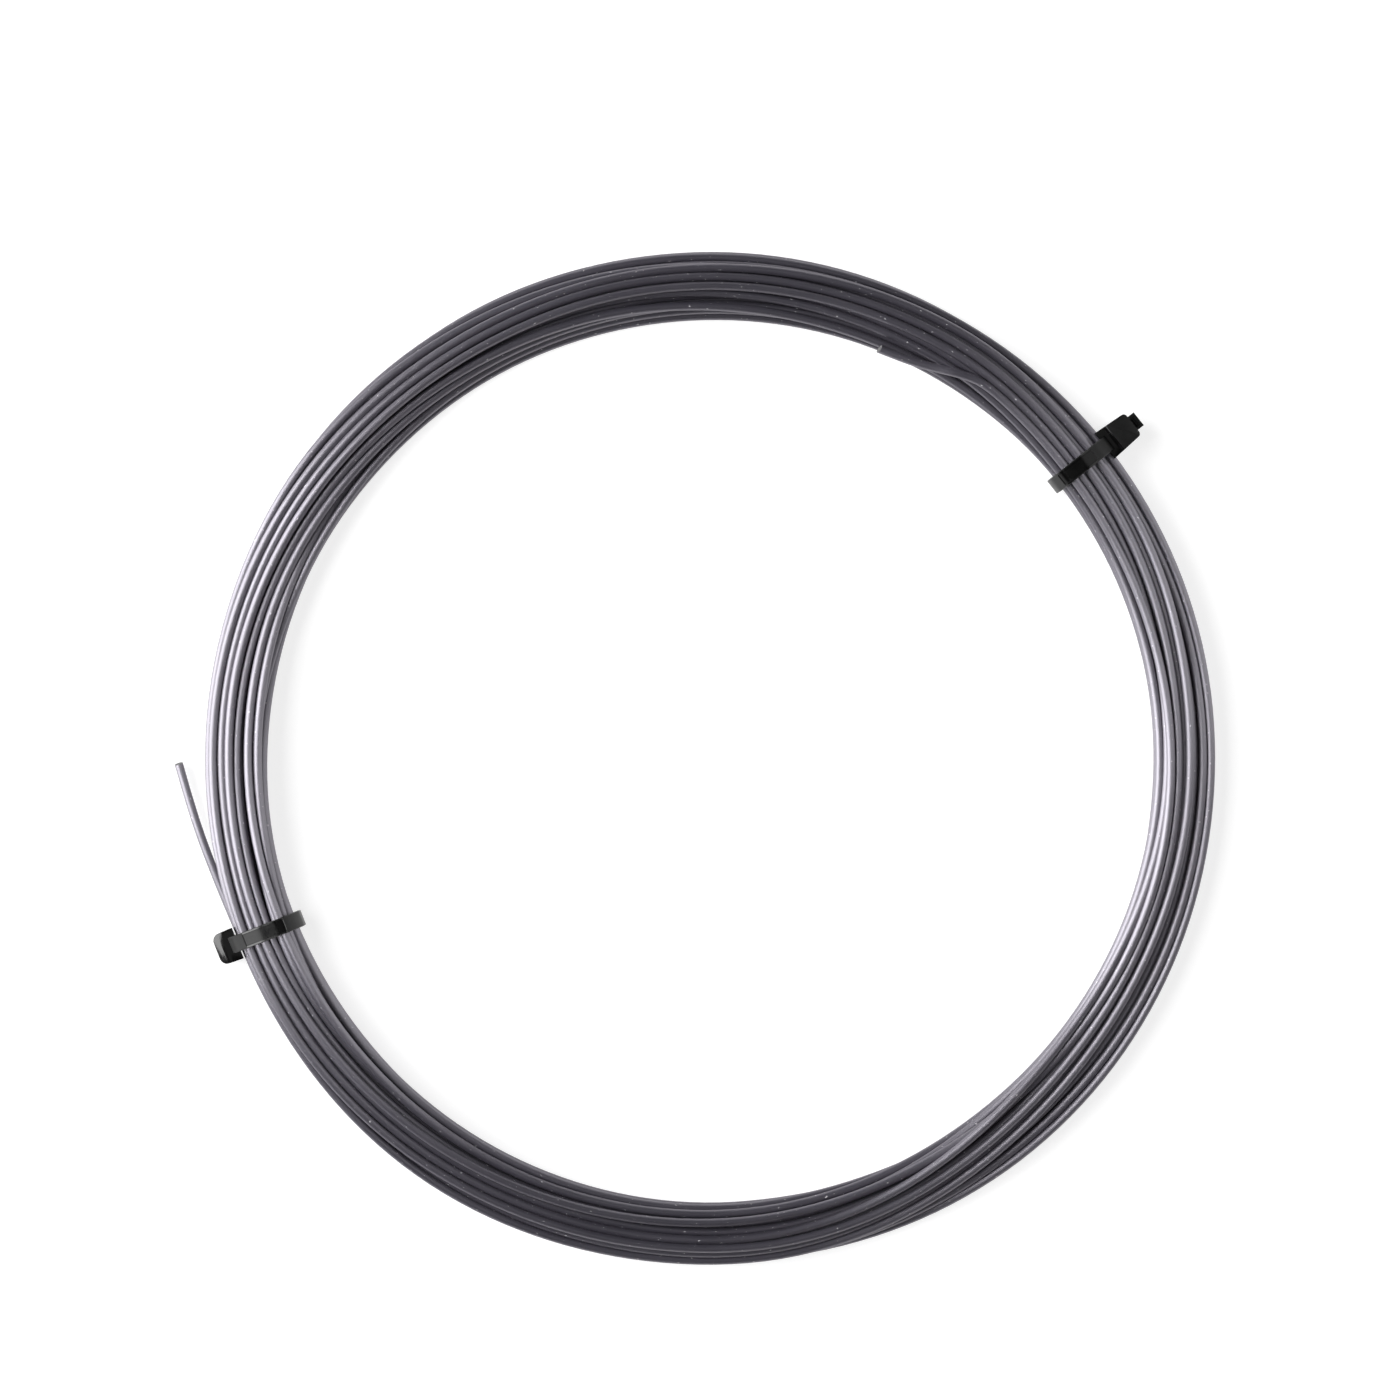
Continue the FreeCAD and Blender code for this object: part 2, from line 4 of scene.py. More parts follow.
import bmesh
import bpy
import numpy as np
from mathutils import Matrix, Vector


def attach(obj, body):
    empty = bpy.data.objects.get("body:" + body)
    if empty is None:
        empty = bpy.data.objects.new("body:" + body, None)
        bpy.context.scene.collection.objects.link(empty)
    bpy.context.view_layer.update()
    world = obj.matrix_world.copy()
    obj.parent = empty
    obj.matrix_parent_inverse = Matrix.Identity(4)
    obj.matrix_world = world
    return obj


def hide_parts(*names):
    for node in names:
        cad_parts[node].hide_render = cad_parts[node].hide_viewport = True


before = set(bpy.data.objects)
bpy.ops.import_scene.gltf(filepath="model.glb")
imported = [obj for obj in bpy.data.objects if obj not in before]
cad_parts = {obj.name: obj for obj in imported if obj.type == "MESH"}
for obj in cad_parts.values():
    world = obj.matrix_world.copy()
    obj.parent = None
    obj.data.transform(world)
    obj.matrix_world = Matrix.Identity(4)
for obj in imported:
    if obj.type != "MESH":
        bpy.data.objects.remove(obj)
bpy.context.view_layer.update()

MM = 0.001
FULL_TURN = 2 * math.pi

# The string, in millimetres and degrees anticlockwise from +X
STRING = 1.3
HALF = STRING / 2
LEFT_TIE = 201.4
RIGHT_TIE = 38.4
# Stations on each turn, the first and the last one's angles, and the whole turns between them
STATIONS = 64
OUTER_TIP = 180.75
LAST_STATION = 51.375
WHOLE_TURNS = 26

# The bundle's outer and inner edge round the coil, angle and radius
OUTER_EDGE = [
    (0, 76.45), (38.4, 76.45), (90, 77.05), (125, 77.35), (165, 77.0), (201.4, 77.2), (240, 78.0),
    (270, 77.2), (300, 77.35), (330, 77.15),
]
INNER_EDGE = [
    (0, 67.3), (38.4, 67.2), (90, 66.6), (125, 66.7), (165, 67.5), (201.4, 68.0), (240, 67.95),
    (270, 68.0), (300, 67.5), (330, 67.3),
]
# Strands in each layer from the floor up
LAYERS = [6, 7, 6, 5, 3]
MEAN_RADIUS = 72.1

# Where the free ends run beside and over the bundle, angle and radius
OUTER_RUN = [(180.75, 81.2), (186.375, 79.5), (192.0, 78.0), (197.625, 77.0), (203.25, 76.62)]
INNER_RUN = [(40.125, 69.15), (45.75, 69.45), (51.375, 69.82)]
# Past the coil the inner end is kinked and lies over the turns beneath to its cut tip
INNER_END = [
    (54.2, 69.9), (55.7, 69.6), (57.7, 68.9), (60.0, 68.05), (62.3, 67.4), (64.8, 67.05), (67.7, 66.95),
]
# The inner end comes down at most this fast
FALL_PER_DEGREE = 0.115

# The straps' thickness, and how many times that the coil stands off the floor at the ties
STRAP = 1.0
LIFT_SHARE = 1.1
# Near each tie, from and to these degrees past it, the turns lie over the strap and under a roof
HELD = [(LEFT_TIE, -4.5, 8.5), (RIGHT_TIE, -8.5, 4.5)]
HELD_GAP = 0.06
HELD_ROOF = 7.9
# Elsewhere nothing is over the turns, and nothing bounds the free ends' runs
OPEN_ROOF = 30.0
OPEN_OUTER = 90.0
OPEN_INNER = 60.0

# How far the layers drift out from the mean circle, angle and millimetres, and each layer's share of it
DRIFT = [(0, -2.6), (38, -1.3), (60, -0.3), (110, 0.3), (180, 3.0), (201, 3.1), (270, 1.0), (324, -3.4)]
LAYER_DRIFT = [-0.9, -0.6, 0.1, 0.9, 1.1]
# How far a turn wanders from its lane, in waves round the coil
WANDER = 0.6
WAVES = (1, 2, 3)
SEED = 4
# The turns start this far over one another, in strands, and uneven by some millimetres
LAYER_RISE = 1.15
UNEVEN = 0.05
# The last turn is led to the inner end: from how many stations before the end, and over how many
LEAD_START = 44
LEAD_LENGTH = 30

# How the turns settle: in each step they sink, keep most of their wander and are pushed apart a few times
SETTLE_STEPS = 320
PUSHES = 6
SINK = 0.02
HOLD = 0.99
SETTLE_SPACING = 1.015
# Then they are pushed clear of one another in a few rounds, with their bends eased after each
LAST_ROUNDS = 4
LAST_PUSHES = 75
LAST_SPACING = 1.005
# How much the string resists short waves while it settles and at the end, and the stations added at both ends
STIFF = 2.5e-4
FINISH = 2e-5
PADDING = 128
# Places and distances at which nothing touches
FAR = 1000
FAR_STEP = 10

# The string's tube: its fineness along and round it
SPLINE_FINENESS = 3
SIDES = 16
STRING_UV = "length_and_girth"
# How far each end's cut leans back at its top and at its outer side, in radii of the string
OUTER_CUT = (0.28, 0.0)
INNER_CUT = (0.42, 0.18)
# How far in each cut's rim is rounded, and how far the cut stands out
CUT_RIM = 0.12
CUT_BULGE = 0.06
# The materials on the string's cuts: the dull cut face, and a pale rim at the inner cut whose colour is a
# painted highlight
FACE, PAINTED_GLINT = 1, 2

# The string's greys, specks and sheen, and its patterns' scales along it and round it
DARK_GREY = (0.0205, 0.019, 0.027)
PALE_GREY = (0.0275, 0.0256, 0.035)
SPECK_COLOUR = (0.55, 0.54, 0.56, 1)
SHEEN_TINT = (0.945, 0.905, 1.0, 1)
DRAW_LINES = (40, 9000, 1)
SCUFFS = (90, 400, 1)
SPECKS = (1500, 2400, 1)
# How deep the materials' relief is, in metres
RELIEF = 0.00005

# Ties, in millimetres: x out from the coil's middle, y round the coil, z up
# before and after: the degrees whose turns the strap goes round
# head: its back and front. rim and nose: where its top and its hood over the bundle end. base: its underside
# narrowing, plan_round, crown: how it tapers, and how round its front corners and sloping top are
# brow: how far in and down its top slopes at the front, if at all
# stub: how far the tail stands out of the front. recess: where the strap's outer side is sunk
# shoulder and room: how the strap stands off the turns at its outer side, high and low
# pawl: its hinge's place and level, and its reach. gloss: the polished nylon's specular level
TIES = {
    "left": {
        "angle": LEFT_TIE,
        "before": -3.3,
        "after": 7.3,
        "head": (78.3, 80.7),
        "rim": 78.9,
        "nose": 77.25,
        "base": 0.6,
        "head_width": 5.0,
        "narrowing": 0.05,
        "plan_round": 1.1,
        "stub": -0.3,
        "recess": (69.4, 76.0),
        "shoulder": (0.33, 1.24),
        "room": 0.32,
        "pawl": (79.948, 3.59, 0.62),
        "crown": 0.35,
        "brow": (1.0, 0.36),
        "gloss": 0.5,
    },
    "right": {
        "angle": RIGHT_TIE,
        "before": -7.3,
        "after": 3.3,
        "head": (77.65, 81.35),
        "rim": 77.85,
        "nose": 75.95,
        "base": 1.4,
        "head_width": 4.9,
        "narrowing": 0.16,
        "plan_round": 0.55,
        "stub": 1.45,
        "recess": (66.9, 73.7),
        "shoulder": (0, 0),
        "room": 0,
        "pawl": (79.002, 4.39, 1.85),
        "crown": 0,
        "brow": (0, 0),
        "gloss": 0.3,
    },
}
# The strap also goes round turns this many degrees further off, and the inner end up to this many past it
STRAP_REACH = 3
INNER_REACH = 4
# The strap's gap to the turns that it goes round
FIT = 0.1

# The strap's section
STRAP_WIDTH = 2.5
RAIL = 0.32
RAIL_SLOPE = 0.06
CORNER = 0.08
RECESS_DEPTH = 0.14
RECESS_SLOPE = 0.12
TOOTH_PITCH = 1.0
TOOTH_DEPTH = 0.25
TOOTH_HALF = 0.85
# The section's faces on its outer side, those sunk between the rails, and those on its toothed side
TOP_FACES = [7, 8, 9, 10, 11]
SUNK_FACES = [8, 9, 10]
TOOTHED_FACES = [0, 1, 2, 3, 4]
# Steps along the strap while its corners are rounded off, how often they are cut, and the steps of its rings
ROUGH_STEP = 0.7
CORNER_CUTS = 3
RING_STEP = 0.12

# The head, its slot and its chamber
HEAD_HEIGHT = 4.8
HEAD_FLOOR = 1.0
SLOT_ROOM = 0.12
CHAMBER_ROOM = 1.35
CHAMBER_WIDTH = 2.1
CHAMBER_BEHIND = 0.45
CUT_PAST_BACK = 3
CUT_PAST_FRONT = 1
# The head's hood, the wall along the strap and the lip over the slot
HOOD_FIT = 0.06
HOOD_THICKNESS = 0.35
HOOD_DROP = 0.02
HOOD_LEAN = 0.3
RIM_SLOPE = 0.4
NOSE_SLOPE = 0.1
WALL = 0.15
LIP = 0.2
LIP_SLOPE = 0.1
# Bevels: radius in millimetres and steps
RIM_BEVEL = (0.1, 2)
FLANK_BEVEL = (1.0, 5)
BASE_BEVEL = (0.5, 3)
EDGE_BEVEL = (0.1, 2)
PAWL_BEVEL = (0.05, 2)
FRONT_STEPS = 6
CROWN_STEPS = 5
# Edges that bend by more than this many degrees get the last bevel, on the head and on the pawl
HEAD_BEND = 40
PAWL_BEND = 50
# Two places are one within the first, and an edge is a long one beyond the second, in metres
TOUCH = 1e-6
LONG = 1e-3
# The upward parts of the normals of side faces, at most, and of the head's top faces, at least
SIDE_LIFT = 0.5
TOP_LIFT = 0.9
FLAT_LIFT = 0.98
SATIN_LIFT = 0.97
SLOPE_MATCH = 0.005
# How far below the top satin faces lie at most, and the crown's edges below the brow, and out from the rim
SATIN_DEPTH = 0.1
CROWN_DEPTH = 0.05
CROWN_START = 0.15

# The pawl, from its hinge: its root, the teeth's backs, gullets and points, and its top
PAWL_WIDTH = 1.9
PAWL_ROOT = 0.38
PAWL_BACK = 0.72
PAWL_GULLET = -0.42
PAWL_POINT = -0.78
PAWL_END = -0.14
PAWL_TOP = [(0.45, 0.16), (0.2, 0.32)]
# Its teeth stand from here to its reach, and no tooth's back lies further in than its heel
PAWL_FIRST = 0.5
PAWL_HEEL = 0.1
PAWL_SLACK = 0.01

# The ties' materials besides the polished one
SATIN, SUNK = 1, 2

# The floor, in millimetres, and how it glows to the camera: near and far, and where that changes, in metres
FLOOR_REACH = 3000
FLOOR_DEPTH = 2
FLOOR_GLOW = (0.75, 1.0)
FLOOR_FADE = (0.6, 1.1)
# The sky's light, and how far up its white band fades in reflections
AMBIENT = 0.04
HORIZON = (0.12, 0.2)
LAMP_DISTANCE = 1.2
CAMERA_LENS = 120
CAMERA_PLACE = (-0.002584, 0.009424, 0.708)


def round_coil(table, angle):
    """A smooth closed curve through radii given at angles round the coil."""
    at = np.radians([row[0] for row in table])
    radius = np.array([row[1] for row in table])
    at = np.append(at, at[0] + FULL_TURN)
    radius = np.append(radius, radius[0])
    wrapped = np.mod(angle, FULL_TURN)
    step = np.clip(np.searchsorted(at, wrapped, side="right") - 1, 0, len(at) - 2)
    share = (wrapped - at[step]) / (at[step + 1] - at[step])
    share = (1 - np.cos(np.pi * share)) / 2
    return radius[step] * (1 - share) + radius[step + 1] * share


def from_tie(angle, tie):
    """Degrees anticlockwise from a tie, from -180 to 180."""
    return (np.degrees(angle) - tie + 180) % 360 - 180


def strap_lift(angle):
    """How high the coil stands off the floor, most on the straps and least between them."""
    past_left = (np.degrees(angle) - LEFT_TIE) % 360
    span = RIGHT_TIE + 360 - LEFT_TIE
    share = np.where(past_left < span, past_left / span, (past_left - span) / (360 - span))
    return STRAP * LIFT_SHARE * np.cos(np.pi * share) ** 2


def lay_order():
    """Each turn's lane and layer, wound to and fro across the bundle from the outside in."""
    places = []
    inward = True
    for layer, count in enumerate(LAYERS):
        lanes = [lane - (count - 1) / 2 for lane in range(count)]
        if inward:
            lanes.reverse()
        inward = not inward
        places += [(lane * STRING, layer) for lane in lanes]
    places.append(places[-1])
    return np.array(places)


def settled_coil():
    """The turns let down on one another: angle, radius and height at every station, in mm."""
    draw = np.random.default_rng(SEED)
    span = LAST_STATION + 360 * (WHOLE_TURNS + 1) - OUTER_TIP
    count = int(round(span / 360 * STATIONS)) + 1
    rows = -(-count // STATIONS)
    angle = math.radians(OUTER_TIP) + FULL_TURN * np.arange(count) / STATIONS
    turn = np.clip((np.degrees(angle) - LEFT_TIE) / 360, 0, None)

    places = lay_order()
    order = np.arange(len(places))
    lane = np.interp(turn, order, places[:, 0])
    layer = np.interp(turn, order, places[:, 1])
    drift = np.interp(layer, np.arange(len(LAYERS)), LAYER_DRIFT)
    target = MEAN_RADIUS + lane + drift * round_coil(DRIFT, angle)
    knots = np.arange(rows + 1)
    for wave in WAVES:
        size = draw.normal(0, 1, rows + 1)
        phase = draw.uniform(0, FULL_TURN, rows + 1)
        cosine = np.interp(turn, knots, size * np.cos(phase))
        sine = np.interp(turn, knots, size * np.sin(phase))
        target += WANDER / wave ** 2 * (cosine * np.cos(wave * angle) + sine * np.sin(wave * angle))

    outer = round_coil(OUTER_EDGE, angle) - HALF
    inner = round_coil(INNER_EDGE, angle) + HALF
    under_strap = np.zeros(count, bool)
    for tie, before, after in HELD:
        away = from_tie(angle, tie)
        under_strap |= (away > before) & (away < after)
    floor = strap_lift(angle) + HALF
    floor = np.where(under_strap, np.maximum(floor, STRAP + HELD_GAP + HALF), floor)
    roof = np.where(under_strap, HELD_ROOF - HALF, OPEN_ROOF)

    outer_run = np.arange(len(OUTER_RUN))
    inner_run = np.arange(count - len(INNER_RUN), count)
    pinned = np.concatenate([outer_run, inner_run])
    pinned_radius = np.array([row[1] for row in OUTER_RUN + INNER_RUN])
    outer[outer_run] = OPEN_OUTER
    inner[inner_run] = OPEN_INNER
    lead = np.clip((np.arange(count) - (count - LEAD_START)) / LEAD_LENGTH, 0, 1)
    target = target * (1 - lead) + pinned_radius[len(OUTER_RUN)] * lead
    target[pinned] = pinned_radius

    radius = np.clip(target, inner, outer)
    height = floor + layer * STRING * LAYER_RISE + draw.normal(0, UNEVEN, count)

    waves = np.fft.rfftfreq(count + 2 * PADDING, 1 / STATIONS)

    def softened(values, stiffness, own_wave):
        """Values with their short waves damped, as a stiff string's are."""
        before = 2 * values[0] - values[PADDING:0:-1]
        after = 2 * values[-1] - values[-2:-PADDING - 2:-1]
        spectrum = np.fft.rfft(np.concatenate([before, values, after]))
        spectrum /= 1 + stiffness * (waves ** 2 - own_wave) ** 2
        return np.fft.irfft(spectrum, count + 2 * PADDING)[PADDING:-PADDING]

    filler = FAR + FAR_STEP * np.arange(rows * STATIONS - count)
    apart = FAR * np.eye(rows)[:, :, None]

    def push_apart(radius, height, distance):
        """Strands that are nearer than a distance moved out of one another."""
        across = np.concatenate([radius, filler]).reshape(rows, STATIONS)
        up = np.concatenate([height, filler]).reshape(rows, STATIONS)
        to_right = across[:, None, :] - across[None, :, :]
        to_top = up[:, None, :] - up[None, :, :]
        between = np.sqrt(to_right ** 2 + to_top ** 2) + apart
        push = np.maximum(0, distance - between) / 2 / between
        touching = np.sqrt(np.maximum(1, (push > 0).sum(1)))
        out = (push * to_right).sum(1) / touching
        lift = (push * to_top).sum(1) / touching
        return radius + out.ravel()[:count], height + lift.ravel()[:count]

    def kept_inside(radius, height):
        """Strands moved back inside the bundle's edges, and the free ends' runs to their places."""
        radius = np.clip(radius, inner, outer)
        radius[pinned] = pinned_radius
        return radius, np.clip(height, floor, roof)

    for _ in range(SETTLE_STEPS):
        radius = target + HOLD * softened(radius - target, STIFF, 1)
        height = softened(height, STIFF, 0) - SINK
        for _ in range(PUSHES):
            radius, height = push_apart(radius, height, STRING * SETTLE_SPACING)
            radius, height = kept_inside(radius, height)
    for _ in range(LAST_ROUNDS):
        for _ in range(LAST_PUSHES):
            radius, height = push_apart(radius, height, STRING * LAST_SPACING)
            radius, height = kept_inside(radius, height)
        radius = target + softened(radius - target, FINISH, 1)
        height = softened(height, FINISH, 0)
        radius, height = kept_inside(radius, height)
    return angle, radius, height


def resting_height(at, across, angle, radius, height):
    """How high the string's middle lies at a place on top of the turns there."""
    highest = HALF
    turned = math.radians(at)
    while turned < angle[-1]:
        if turned > angle[0]:
            gap = abs(across - np.interp(turned, angle, radius))
            if gap < STRING:
                under = np.interp(turned, angle, height)
                highest = max(highest, under + math.sqrt(STRING ** 2 - gap ** 2))
        turned += FULL_TURN
    return highest


def to_world(angle, radius, height):
    """Points in metres from angles in radians and radii and heights in millimetres."""
    return np.column_stack([radius * np.cos(angle), radius * np.sin(angle), height]) * MM


def string_route():
    """The control points of the string's line: the settled turns, then the kinked inner end."""
    angle, radius, height = settled_coil()
    # The spline's line runs inside its control points, so the turns' points are set out by as much
    widen = 1 / (0.75 + 0.25 * math.cos(FULL_TURN / STATIONS))
    end_angle = np.radians([row[0] for row in INNER_END])
    end_radius = np.array([row[1] for row in INNER_END])
    resting = [resting_height(*row, angle, radius, height) for row in INNER_END]
    falling = [height[-1] - FALL_PER_DEGREE * (row[0] - INNER_END[0][0]) for row in INNER_END]
    control = np.vstack([
        to_world(angle, radius * widen, height),
        to_world(end_angle, end_radius, np.maximum(resting, falling)),
    ])
    return control, angle, radius, height


def linked(name, data):
    """An object in the scene with the given mesh, curve, lamp or camera."""
    made = bpy.data.objects.new(name, data)
    bpy.context.scene.collection.objects.link(made)
    return made


def spline_points(points):
    """Points along the NURBS spline whose control points are given."""
    curve = bpy.data.curves.new("string_line", "CURVE")
    curve.dimensions = "3D"
    curve.resolution_u = SPLINE_FINENESS
    spline = curve.splines.new("NURBS")
    spline.points.add(len(points) - 1)
    for point, place in zip(spline.points, points):
        point.co = (*place, 1)
    spline.order_u = 3
    spline.use_endpoint_u = True
    holder = linked("string_line", curve)
    bpy.context.view_layer.update()
    mesh = bpy.data.meshes.new_from_object(holder)
    line = np.array([vertex.co for vertex in mesh.vertices])
    bpy.data.objects.remove(holder)
    bpy.data.meshes.remove(mesh)
    return line


def run_along(line):
    """How far along a line each of its points lies."""
    return np.concatenate([[0], np.cumsum(np.linalg.norm(np.diff(line, axis=0), axis=1))])


def headings(line):
    """The directions of a line at its points."""
    along = np.gradient(line, axis=0)
    return along / np.linalg.norm(along, axis=1)[:, None]


def finished_mesh(name, work):
    """A mesh from its making, with its faces turned outward."""
    bmesh.ops.recalc_face_normals(work, faces=work.faces)
    mesh = bpy.data.meshes.new(name)
    work.to_mesh(mesh)
    work.free()
    return mesh


def smooth_object(name, mesh, sharp_angle=40.0):
    """A linked object with smooth shading and its corners kept sharp."""
    work = bmesh.new()
    work.from_mesh(mesh)
    for face in work.faces:
        face.smooth = True
    limit = math.radians(sharp_angle)
    for edge in work.edges:
        edge.smooth = edge.smooth and len(edge.link_faces) == 2 and edge.calc_face_angle(0) < limit
    work.to_mesh(mesh)
    work.free()
    return linked(name, mesh)


def string_mesh(line):
    """The string as a tube round its line, with its length and girth as UVs in metres."""
    along = headings(line)
    across = np.cross(along, [0, 0, 1])
    across /= np.linalg.norm(across, axis=1)[:, None]
    upright = np.cross(across, along)
    spread = FULL_TURN * np.arange(SIDES) / SIDES
    rim = HALF * MM
    rings = (
        line[:, None, :]
        + rim * np.cos(spread)[None, :, None] * across[:, None, :]
        + rim * np.sin(spread)[None, :, None] * upright[:, None, :]
    )
    for row, forward, (back_top, back_side) in ((0, -1, OUTER_CUT), (-1, 1, INNER_CUT)):
        back = back_top * np.sin(spread) + back_side * np.cos(spread)
        rings[row] -= forward * rim * back[:, None] * along[row]
    length = run_along(line)

    work = bmesh.new()
    uv_layer = work.loops.layers.uv.new(STRING_UV)
    vertices = [[work.verts.new(point) for point in ring] for ring in rings]
    girth = FULL_TURN * rim
    last = len(line) - 1
    for ring in range(last):
        for side in range(SIDES):
            after = (side + 1) % SIDES
            corners = [
                (ring, side, side), (ring, after, side + 1),
                (ring + 1, after, side + 1), (ring + 1, side, side),
            ]
            face = work.faces.new([vertices[row][column] for row, column, _ in corners])
            for loop, (row, _, turned) in zip(face.loops, corners):
                loop[uv_layer].uv = (length[row], girth * turned / SIDES)
    # The outer cut's rim is dull like its face, and the inner cut's rim is pale: a painted highlight
    for row, rim_material in ((0, FACE), (last, PAINTED_GLINT)):
        ring = vertices[row]
        face = work.faces.new(ring if row else ring[::-1])
        rounded = bmesh.ops.inset_region(
            work, faces=[face], thickness=CUT_RIM * MM, depth=CUT_BULGE * MM,
        )
        for made in rounded["faces"]:
            made.material_index = rim_material
        face.material_index = FACE
    return finished_mesh("racket_string", work)


def node_maker(tree):
    """A maker of nodes in a tree, and a filler of their inputs with values or other nodes' outputs."""

    def fill(made, inputs):
        for key, value in inputs.items():
            socket = made.inputs[key]
            if isinstance(value, bpy.types.NodeSocket):
                tree.links.new(value, socket)
            else:
                socket.default_value = value

    def node(kind, inputs=None, **settings):
        made = tree.nodes.new(kind)
        for key, value in settings.items():
            setattr(made, key, value)
        fill(made, inputs or {})
        return made
    return node, fill


def new_material(name):
    """A material, a filler of its Principled shader's inputs, and a maker of nodes in it."""
    material = bpy.data.materials.new(name)
    material.use_nodes = True
    node, fill = node_maker(material.node_tree)
    shader = material.node_tree.nodes["Principled BSDF"]
    return material, lambda inputs: fill(shader, inputs), node


def ramp(node, source, stops):
    """A colour ramp through (place, grey or colour) stops."""
    made = node("ShaderNodeValToRGB", {"Fac": source})
    elements = made.color_ramp.elements
    for index, (place, colour) in enumerate(stops):
        element = elements[index] if index < 2 else elements.new(place)
        element.position = place
        element.color = (*colour, 1) if isinstance(colour, tuple) else (colour, colour, colour, 1)
    return made.outputs["Color"]


def noise(node, place, scale, detail):
    """A grey noise pattern."""
    made = node("ShaderNodeTexNoise", {"Vector": place, "Scale": scale, "Detail": detail})
    return made.outputs["Fac"]


def relief(node, pattern, strength):
    """Normals of a surface raised by a grey pattern."""
    made = node("ShaderNodeBump", {"Height": pattern, "Strength": strength, "Distance": RELIEF})
    return made.outputs["Normal"]


def greater(node, first, second):
    """The greater of two grey values."""
    return node("ShaderNodeMath", {0: first, 1: second}, operation="MAXIMUM").outputs[0]


def string_material():
    """Satin grey monofilament with fine draw lines, small scuffs and pale specks."""
    material, shade, node = new_material("satin_string")
    uv = node("ShaderNodeUVMap", uv_map=STRING_UV).outputs["UV"]

    def along_string(scale, detail):
        scaled = node("ShaderNodeMapping", {"Vector": uv, "Scale": scale})
        return noise(node, scaled.outputs["Vector"], scale=1.0, detail=detail)

    drawn = along_string(DRAW_LINES, detail=3.0)
    patchy = along_string(SCUFFS, detail=4.0)
    grey = ramp(node, patchy, [(0.3, DARK_GREY), (0.7, PALE_GREY)])
    speck = ramp(node, along_string(SPECKS, detail=2.0), [(0.7, 0.0), (0.73, 1.0)])
    tint = node("ShaderNodeMixRGB", {"Fac": speck, "Color1": grey, "Color2": SPECK_COLOUR})
    # The draw lines run lengthwise, so the sheen spreads round the string's girth
    lengthwise = node("ShaderNodeTangent", direction_type="UV_MAP", uv_map=STRING_UV)
    shade({
        "Base Color": tint.outputs["Color"],
        "Roughness": ramp(node, patchy, [(0.3, 0.36), (0.75, 0.42)]),
        "IOR": 2.0,
        "Specular IOR Level": 1.0,
        "Specular Tint": SHEEN_TINT,
        "Anisotropic": 0.87,
        "Anisotropic Rotation": 0.25,
        "Tangent": lengthwise.outputs["Tangent"],
        "Normal": relief(node, drawn, strength=0.12),
    })
    return material


def cut_material(name, darkest, palest):
    """The dull cut face at each end of the string, or the pale rim round the inner cut, whose colour is a
    painted highlight.
    """
    material, shade, node = new_material(name)
    place = node("ShaderNodeTexCoord").outputs["Object"]
    rough = noise(node, place, scale=6000.0, detail=3.0)
    shade({
        "Base Color": ramp(node, rough, [(0.3, darkest), (0.8, palest)]),
        "Roughness": 0.6,
        "Normal": relief(node, rough, strength=0.3),
    })
    return material


def nylon_material(name, smoothest, roughest, gloss):
    """Black moulded nylon with faint flow marks, polished or satin."""
    material, shade, node = new_material(name)
    place = node("ShaderNodeTexCoord").outputs["Object"]
    flow = noise(node, place, scale=900.0, detail=4.0)
    grain = noise(node, place, scale=4000.0, detail=2.0)
    shade({
        "Base Color": ramp(node, flow, [(0.3, 0.0015), (0.75, 0.003)]),
        "Roughness": ramp(node, flow, [(0.3, smoothest), (0.75, roughest)]),
        "IOR": 1.53,
        "Specular IOR Level": gloss,
        "Normal": relief(node, grain, strength=0.08),
    })
    return material


def convex_outline(points):
    """The convex outline of some points, anticlockwise."""
    ordered = sorted(map(tuple, points))

    def half(run):
        kept = []
        for point in run:
            while len(kept) > 1:
                (ax, ay), (bx, by) = kept[-2], kept[-1]
                if (bx - ax) * (point[1] - ay) - (by - ay) * (point[0] - ax) > 0:
                    break
                kept.pop()
            kept.append(point)
        return kept[:-1]
    return half(ordered) + half(ordered[::-1])


def height_over(outline, place):
    """How high a closed outline reaches above a place."""
    crossed = [
        before[1] + (after[1] - before[1]) * (place - before[0]) / (after[0] - before[0])
        for before, after in zip(outline, outline[1:] + outline[:1])
        if (before[0] - place) * (after[0] - place) < 0
    ]
    return max(crossed)


def even_steps(line, step):
    """A line's points spaced evenly."""
    line = np.array(line)
    run = run_along(line)
    at = np.linspace(0, run[-1], int(run[-1] / step) + 1)
    return np.column_stack([np.interp(at, run, line[:, axis]) for axis in (0, 1)])


def corners_cut(line, times):
    """A line with its corners rounded off, its ends kept."""
    line = np.array(line)
    for _ in range(times):
        first = line[:-1] * 0.75 + line[1:] * 0.25
        second = line[:-1] * 0.25 + line[1:] * 0.75
        line = np.vstack([line[:1], np.stack([first, second], 1).reshape(-1, 2), line[-1:]])
    return line


